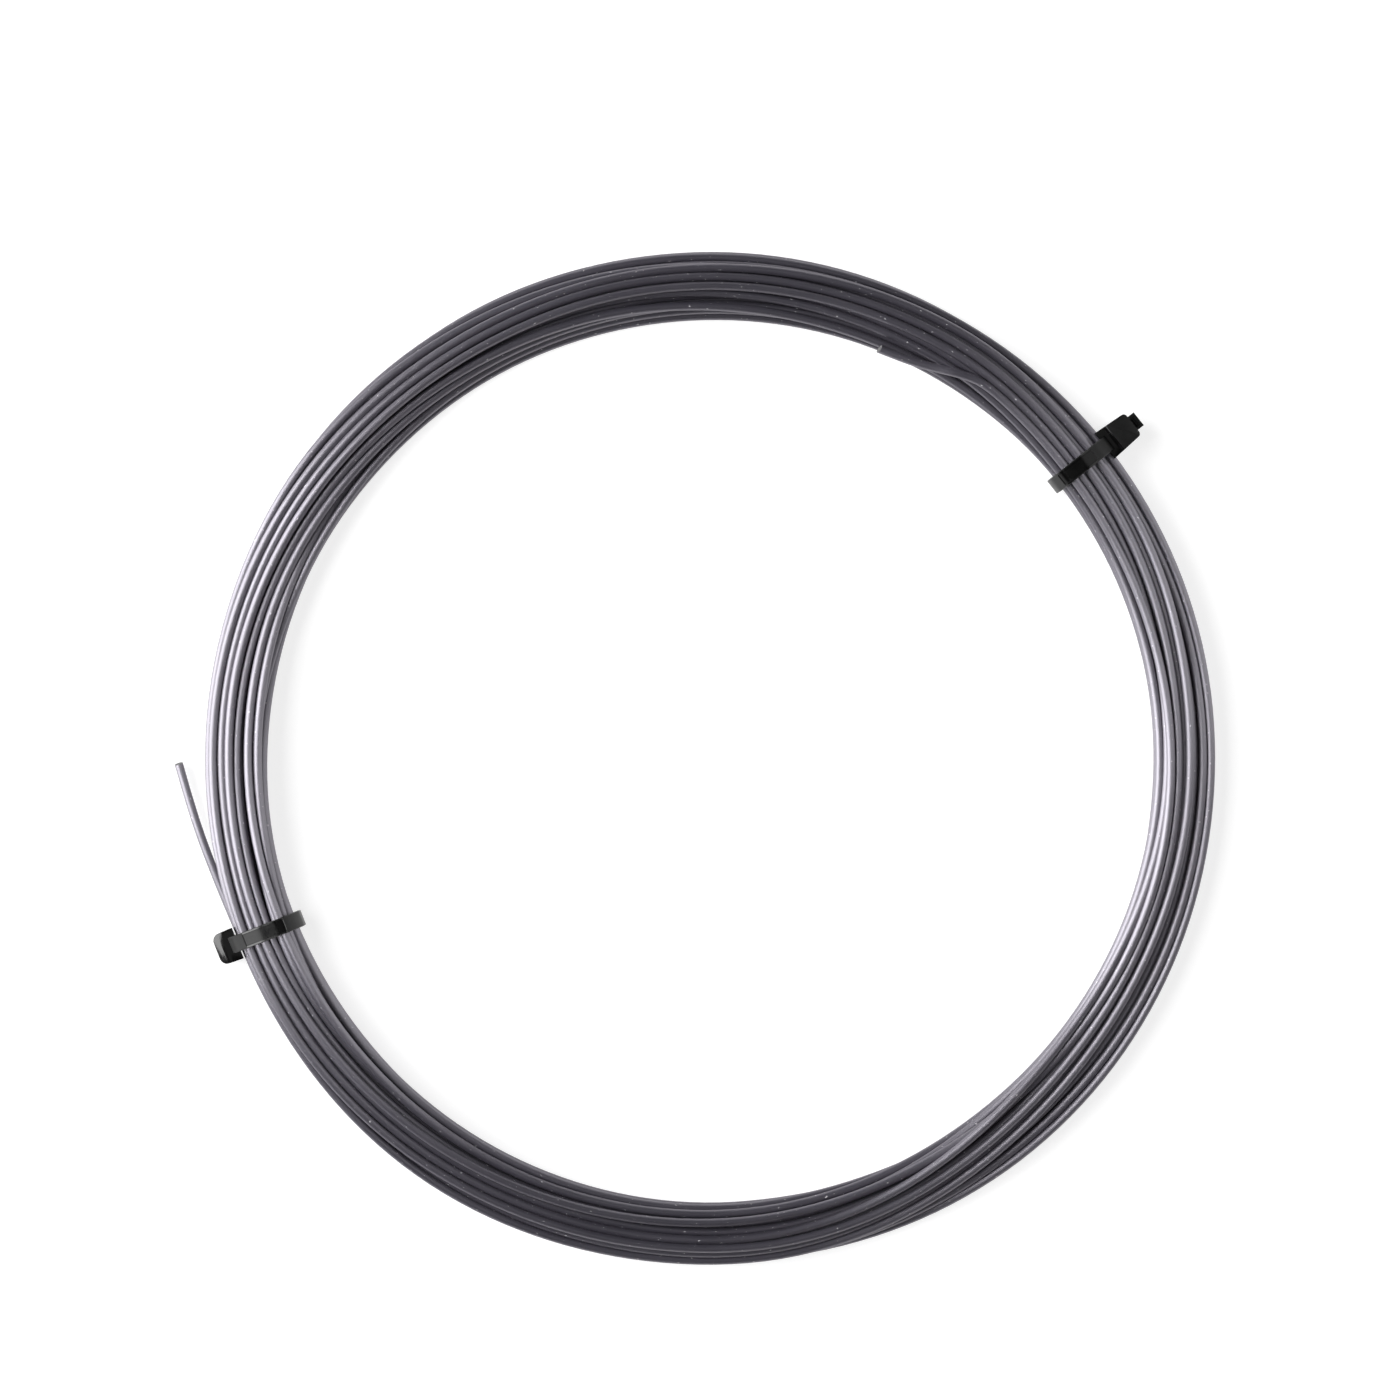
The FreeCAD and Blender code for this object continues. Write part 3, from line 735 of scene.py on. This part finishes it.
def strap_line(tie, angle, radius, height):
    """The middle of the strap's thickness, from its root in the head round to its tail's end."""
    away = from_tie(angle, tie["angle"])
    near = (away > tie["before"] - STRAP_REACH) & (away < tie["after"] + STRAP_REACH)
    near[: len(OUTER_RUN)] = False
    inner_run = slice(-len(INNER_RUN), None)
    near[inner_run] &= np.degrees(angle[inner_run]) % 360 < tie["angle"] + INNER_REACH
    spread = np.radians(np.arange(0, 360, 15))
    round_strand = (HALF + FIT + STRAP / 2) * np.column_stack([np.cos(spread), np.sin(spread)])
    centres = np.column_stack([radius[near], height[near]])
    outline = convex_outline((centres[:, None, :] + round_strand[None, :, :]).reshape(-1, 2))
    outer = max(point[0] for point in outline)
    hood = height_over(outline, tie["nose"]) - STRAP / 2 - FIT + HOOD_FIT
    inside, rise = tie["shoulder"]
    low = outer + tie["room"]
    stiff = [(low, STRAP / 2)]
    if rise:
        shoulder = height_over(outline, outer - inside) + rise
        stiff += [(outer - inside, shoulder), (outer, shoulder - inside)]
    outline = convex_outline(outline + stiff)
    start = outline.index(max(point for point in outline if point[0] == outer))
    outline = outline[start:] + outline[:start]
    tail = tie["base"] + HEAD_FLOOR + SLOT_ROOM + STRAP / 2
    line = [(outer, tail + STRAP)] + outline
    last = line.index((low, STRAP / 2))
    line = line[: last + 1] + [(low, tail), (tie["head"][1] + tie["stub"], tail)]
    return line, hood, outer, tail


def strap_section(sunk, tooth):
    """The strap's section, across it and through its thickness, with its recess and tooth at one place."""
    half = STRAP_WIDTH / 2
    floor = 0.5 - RECESS_DEPTH / STRAP * sunk
    groove = -0.5 + tooth / STRAP
    return [
        (-half, -0.5), (-TOOTH_HALF, -0.5), (-TOOTH_HALF, groove), (TOOTH_HALF, groove),
        (TOOTH_HALF, -0.5), (half, -0.5), (half, 0.5 - CORNER), (half - CORNER, 0.5),
        (half - RAIL, 0.5), (half - RAIL - RAIL_SLOPE, floor), (-half + RAIL + RAIL_SLOPE, floor),
        (-half + RAIL, 0.5), (-half + CORNER, 0.5), (-half, 0.5 - CORNER),
    ]


def strap_mesh(name, tie, line):
    """The strap, with a shallow railed recess outside and the teeth's ridges inside."""
    rounded = even_steps(corners_cut(even_steps(line, ROUGH_STEP), CORNER_CUTS), RING_STEP)
    along = headings(rounded)
    out = np.column_stack([along[:, 1], -along[:, 0]])
    run = run_along(rounded)
    over_top = out[:, 1] > 0.5
    recess_low, recess_high = tie["recess"]
    sunken = run[over_top & (rounded[:, 0] > recess_low) & (rounded[:, 0] < recess_high)]
    recess_from, recess_to = sunken.min(), sunken.max()
    work = bmesh.new()
    rings = []
    for place, side, at in zip(rounded, out, run):
        sunk = min(max((at - recess_from) / RECESS_SLOPE, 0), max((recess_to - at) / RECESS_SLOPE, 0), 1)
        tooth = TOOTH_DEPTH * (1 - (at / TOOTH_PITCH) % 1) if at > recess_to else 0
        rings.append([
            work.verts.new((
                (place[0] + side[0] * lift * STRAP) * MM,
                across * MM,
                (place[1] + side[1] * lift * STRAP) * MM,
            ))
            for across, lift in strap_section(sunk, tooth)
        ])
    for before, after, at in zip(rings, rings[1:], run):
        for index in range(len(before)):
            after_index = (index + 1) % len(before)
            face = work.faces.new([before[index], before[after_index], after[after_index], after[index]])
            if index in SUNK_FACES and recess_from < at < recess_to:
                face.material_index = SUNK
            elif index in TOP_FACES and not recess_from < at < recess_to:
                face.material_index = SATIN
            elif index in TOOTHED_FACES:
                face.material_index = SATIN
    work.faces.new(rings[0])
    work.faces.new(rings[-1][::-1])
    return finished_mesh(name, work)


def block(name, profile, width):
    """A mesh of a profile in x and z, in millimetres, as wide as given in y."""
    work = bmesh.new()
    near = [work.verts.new((x * MM, -width / 2 * MM, z * MM)) for x, z in profile]
    far = [work.verts.new((x * MM, width / 2 * MM, z * MM)) for x, z in profile]
    work.faces.new(near)
    work.faces.new(far[::-1])
    for index in range(len(profile)):
        after = (index + 1) % len(profile)
        work.faces.new([near[index], near[after], far[after], far[index]])
    return finished_mesh(name, work)


def box(name, back, front, low, high, width):
    """A block with an upright rectangle as its profile."""
    return block(name, [(back, low), (front, low), (front, high), (back, high)], width)


def bevelled(mesh, chosen, size, steps):
    """Rounds off the chosen edges of a mesh."""
    work = bmesh.new()
    work.from_mesh(mesh)
    bmesh.ops.bevel(
        work, geom=[edge for edge in work.edges if chosen(edge)], offset=size * MM, segments=steps,
        profile=0.5, affect="EDGES", clamp_overlap=True,
    )
    work.to_mesh(mesh)
    work.free()


def planed(mesh, place, normal):
    """Cuts off what stands past a plane and closes the cut with a flat face."""
    work = bmesh.new()
    work.from_mesh(mesh)
    everything = work.verts[:] + work.edges[:] + work.faces[:]
    cut = bmesh.ops.bisect_plane(
        work, geom=everything, plane_co=place, plane_no=normal, clear_outer=True,
    )
    rim = [part for part in cut["geom_cut"] if isinstance(part, bmesh.types.BMEdge)]
    bmesh.ops.holes_fill(work, edges=rim, sides=0)
    bmesh.ops.recalc_face_normals(work, faces=work.faces)
    work.to_mesh(mesh)
    work.free()


def creased(mesh, chosen):
    """Marks the chosen edges of a mesh sharp."""
    work = bmesh.new()
    work.from_mesh(mesh)
    for edge in work.edges:
        if chosen(edge):
            edge.smooth = False
    work.to_mesh(mesh)
    work.free()


def lifts(edge):
    """How far the two faces at an edge look upward, the lesser first."""
    return sorted(face.normal.z for face in edge.link_faces)


def bends(edge, degrees):
    """Whether the surface turns by more than an angle at an edge."""
    return edge.is_manifold and edge.calc_face_angle(0) > math.radians(degrees)


def lengthwise(edge, level):
    """Whether an edge lies at a level and runs from the back to the front."""
    ends = [vertex.co for vertex in edge.verts]
    at_level = all(abs(end.z - level * MM) < TOUCH for end in ends)
    return at_level and abs(ends[0].x - ends[1].x) > LONG


def hollowed(name, mesh, cutters):
    """A mesh with the space inside other meshes cut out of it."""
    made = linked(name, mesh)
    for cutter_mesh in cutters:
        cutter = linked("cutter", cutter_mesh)
        cut = made.modifiers.new("cut", "BOOLEAN")
        cut.operation = "DIFFERENCE"
        cut.object = cutter
        cut.solver = "EXACT"
        bpy.context.view_layer.update()
        evaluated = made.evaluated_get(bpy.context.evaluated_depsgraph_get())
        result = bpy.data.meshes.new_from_object(evaluated)
        made.modifiers.clear()
        made.data = result
        bpy.data.objects.remove(cutter)
    bpy.data.objects.remove(made)
    result.name = name
    return result


def head_mesh(name, tie, hood, outer, tail):
    """The head: a rounded block with a hood over the bundle, the strap's slot and the pawl's chamber."""
    back, front = tie["head"]
    base = tie["base"]
    top = base + HEAD_HEIGHT
    lip = tail + STRAP / 2 + LIP
    rim = tie["rim"]
    nose = tie["nose"]
    step = min(hood + HOOD_THICKNESS, top - HOOD_DROP)
    inner = outer - STRAP / 2 + WALL
    mesh = block(name, [
        (back, base), (front, base), (front, top), (rim, top), (rim - RIM_SLOPE, step),
        (nose + NOSE_SLOPE, step), (nose, step - NOSE_SLOPE), (nose, hood), (inner, hood - HOOD_LEAN),
        (inner, lip + LIP_SLOPE), (back, lip),
    ], tie["head_width"])
    narrow = tie["narrowing"] / (front - nose)
    for vertex in mesh.vertices:
        vertex.co.y *= 1 - narrow * max(0, vertex.co.x / MM - nose)
    run, drop = tie["brow"]

    def along_rim(edge):
        places = [abs(end.co.x - rim * MM) + abs(end.co.z - top * MM) for end in edge.verts]
        return all(place < TOUCH for place in places)

    def upright_front(edge):
        ends = [vertex.co for vertex in edge.verts]
        return all(abs(end.x - front * MM) < TOUCH for end in ends) and abs(ends[0].z - ends[1].z) > LONG

    def round_the_top(edge):
        low_end = min(end.co.z for end in edge.verts)
        back_end = min(end.co.x for end in edge.verts)
        low_side, high_side = lifts(edge)
        high = low_end > (top - drop - CROWN_DEPTH) * MM and back_end > (rim + CROWN_START) * MM
        return high and low_side < SIDE_LIFT and high_side > TOP_LIFT

    def along_brow(edge):
        if len(edge.link_faces) != 2:
            return False
        low_side, high_side = lifts(edge)
        slope = run / math.hypot(run, drop)
        return abs(low_side - slope) < SLOPE_MATCH and high_side > FLAT_LIFT

    bevelled(mesh, along_rim, *RIM_BEVEL)
    bevelled(mesh, upright_front, tie["plan_round"], FRONT_STEPS)
    if drop:
        planed(mesh, ((front - run) * MM, 0, top * MM), (drop, 0, run))
        bevelled(mesh, round_the_top, tie["crown"], CROWN_STEPS)
    else:
        bevelled(mesh, lambda edge: lengthwise(edge, top), *FLANK_BEVEL)
    bevelled(mesh, lambda edge: lengthwise(edge, base), *BASE_BEVEL)
    bevelled(mesh, lambda edge: bends(edge, HEAD_BEND), *EDGE_BEVEL)

    slot_half = STRAP / 2 + SLOT_ROOM
    past_front = front + CUT_PAST_FRONT
    slot = box(
        "slot", back - CUT_PAST_BACK, past_front, tail - slot_half, tail + slot_half,
        STRAP_WIDTH + 2 * SLOT_ROOM,
    )
    chamber = box(
        "chamber", tie["pawl"][0] - CHAMBER_BEHIND, past_front, tail, tail + slot_half + CHAMBER_ROOM,
        CHAMBER_WIDTH,
    )
    mesh = hollowed(name, mesh, (slot, chamber))
    if drop:
        creased(mesh, along_brow)
        return mesh
    for polygon in mesh.polygons:
        if polygon.normal.z > SATIN_LIFT and polygon.center.z > (top - SATIN_DEPTH) * MM:
            polygon.material_index = SATIN
    return mesh


def pawl_mesh(name, tie):
    """The pawl: a short tongue on a round root, its teeth hanging over the tail's."""
    hinge, level, reach = tie["pawl"]
    spread = np.radians(np.arange(90, 271, 30))
    outline = [(PAWL_ROOT * math.cos(turn), PAWL_ROOT * math.sin(turn)) for turn in spread]
    tip = reach % TOOTH_PITCH
    while tip < reach + PAWL_SLACK:
        if tip > PAWL_FIRST:
            outline += [(max(tip - PAWL_BACK, PAWL_HEEL), PAWL_GULLET), (tip, PAWL_POINT)]
        tip += TOOTH_PITCH
    outline += [(reach, PAWL_END)] + PAWL_TOP
    mesh = block(name, [(hinge + x, level + z) for x, z in outline], PAWL_WIDTH)
    bevelled(mesh, lambda edge: bends(edge, PAWL_BEND), *PAWL_BEVEL)
    return mesh


def stand_at(mesh, angle):
    """Turns a mesh made along +X to its place round the coil."""
    turned = math.radians(angle)
    cosine, sine = math.cos(turned), math.sin(turned)
    for vertex in mesh.vertices:
        x, y, _ = vertex.co
        vertex.co.x = x * cosine - y * sine
        vertex.co.y = x * sine + y * cosine


def floor_material():
    """White paper that shows as plain white and keeps the object's shadow."""
    material, shade, node = new_material("white_floor")
    path = node("ShaderNodeLightPath").outputs
    seen = greater(node, path["Is Camera Ray"], path["Is Glossy Ray"])
    shown = greater(node, seen, path["Is Transmission Ray"])
    place = node("ShaderNodeTexCoord").outputs["Object"]
    away = node("ShaderNodeVectorMath", {0: place}, operation="LENGTH")
    white = node("ShaderNodeMapRange", {
        "Value": away.outputs["Value"],
        "From Min": FLOOR_FADE[0],
        "From Max": FLOOR_FADE[1],
        "To Min": FLOOR_GLOW[0],
        "To Max": FLOOR_GLOW[1],
    })
    glow = node("ShaderNodeMath", {0: shown, 1: white.outputs["Result"]}, operation="MULTIPLY")
    shade({
        "Base Color": (0.4, 0.4, 0.4, 1),
        "Roughness": 0.9,
        "Specular IOR Level": 0.1,
        "Emission Color": (1, 1, 1, 1),
        "Emission Strength": glow.outputs[0],
    })
    return material


def studio_world():
    """A dim studio: its sky is plain white to the camera, and white round the horizon in reflections."""
    world = bpy.data.worlds.new("studio")
    bpy.context.scene.world = world
    world.use_nodes = True
    node, fill = node_maker(world.node_tree)
    path = node("ShaderNodeLightPath").outputs
    direction = node("ShaderNodeTexCoord").outputs["Generated"]
    band = node("ShaderNodeMapRange", {
        "Value": node("ShaderNodeSeparateXYZ", {0: direction}).outputs["Z"],
        "From Min": HORIZON[0],
        "From Max": HORIZON[1],
        "To Min": 1.0,
        "To Max": AMBIENT,
    })
    strength = node("ShaderNodeMix", {
        "Factor": greater(node, path["Is Glossy Ray"], path["Is Transmission Ray"]),
        "A": AMBIENT,
        "B": band.outputs["Result"],
    })
    fill(world.node_tree.nodes["Background"], {
        "Color": (1, 1, 1, 1),
        "Strength": greater(node, strength.outputs["Result"], path["Is Camera Ray"]),
    })


def softbox(name, azimuth, from_zenith, width, height, power):
    """A rectangular soft light facing the object from a direction given in degrees."""
    lamp = bpy.data.lights.new(name, "AREA")
    lamp.shape = "RECTANGLE"
    lamp.size = width
    lamp.size_y = height
    lamp.energy = power
    made = linked(name, lamp)
    turned, leaned = math.radians(azimuth), math.radians(from_zenith)
    away = Vector((
        math.sin(leaned) * math.cos(turned), math.sin(leaned) * math.sin(turned), math.cos(leaned),
    ))
    made.location = LAMP_DISTANCE * away
    made.rotation_euler = (-away).to_track_quat("-Z", "Y").to_euler()
    made.visible_camera = False


control, angle, radius, height = string_route()
line = spline_points(control)

string = smooth_object("racket_string", string_mesh(line))
string.data.materials.append(string_material())
string.data.materials.append(cut_material("cut_string", darkest=0.07, palest=0.2))
# A near-white colour on the inner cut's rim: a painted highlight
string.data.materials.append(cut_material("painted_glint_string", darkest=0.5, palest=0.8))
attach(string, "string")
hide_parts("string_coil", "string_outer_end", "string_inner_end")

satin = nylon_material("satin_nylon", smoothest=0.34, roughest=0.42, gloss=0.3)
sunk = nylon_material("sunk_nylon", smoothest=0.14, roughest=0.2, gloss=0.2)
for side, tie in TIES.items():
    polished = nylon_material(side + "_polished_nylon", smoothest=0.1, roughest=0.18, gloss=tie["gloss"])
    route, hood, outer, tail = strap_line(tie, angle, radius, height)
    strap = strap_mesh(side + "_tie_strap", tie, route)
    head = head_mesh(side + "_tie_head", tie, hood, outer, tail)
    pawl = pawl_mesh(side + "_tie_tongue", tie)
    for mesh, body, node_name in (
        (strap, side + "_tie", side + "_tie"),
        (head, side + "_tie", side + "_tie"),
        (pawl, side + "_pawl", side + "_tie_pawl"),
    ):
        stand_at(mesh, tie["angle"])
        piece = smooth_object(mesh.name, mesh)
        for material in (polished, satin, sunk):
            piece.data.materials.append(material)
        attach(piece, body)
        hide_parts(node_name)

floor = linked("floor", box("floor", -FLOOR_REACH, FLOOR_REACH, -FLOOR_DEPTH, 0, 2 * FLOOR_REACH))
floor.data.materials.append(floor_material())

studio_world()
softbox("left_softbox", azimuth=171, from_zenith=57, width=1.15, height=1.55, power=36.0)
softbox("right_softbox", azimuth=20, from_zenith=56, width=0.9, height=1.4, power=5.0)
softbox("overhead", azimuth=0, from_zenith=0, width=0.7, height=0.7, power=0.35)

camera_data = bpy.data.cameras.new("camera")
camera_data.lens = CAMERA_LENS
camera_data.sensor_width = 36
camera_data.clip_end = 20
camera = linked("camera", camera_data)
camera.location = CAMERA_PLACE
bpy.context.scene.camera = camera
bpy.context.scene.view_settings.view_transform = "Standard"
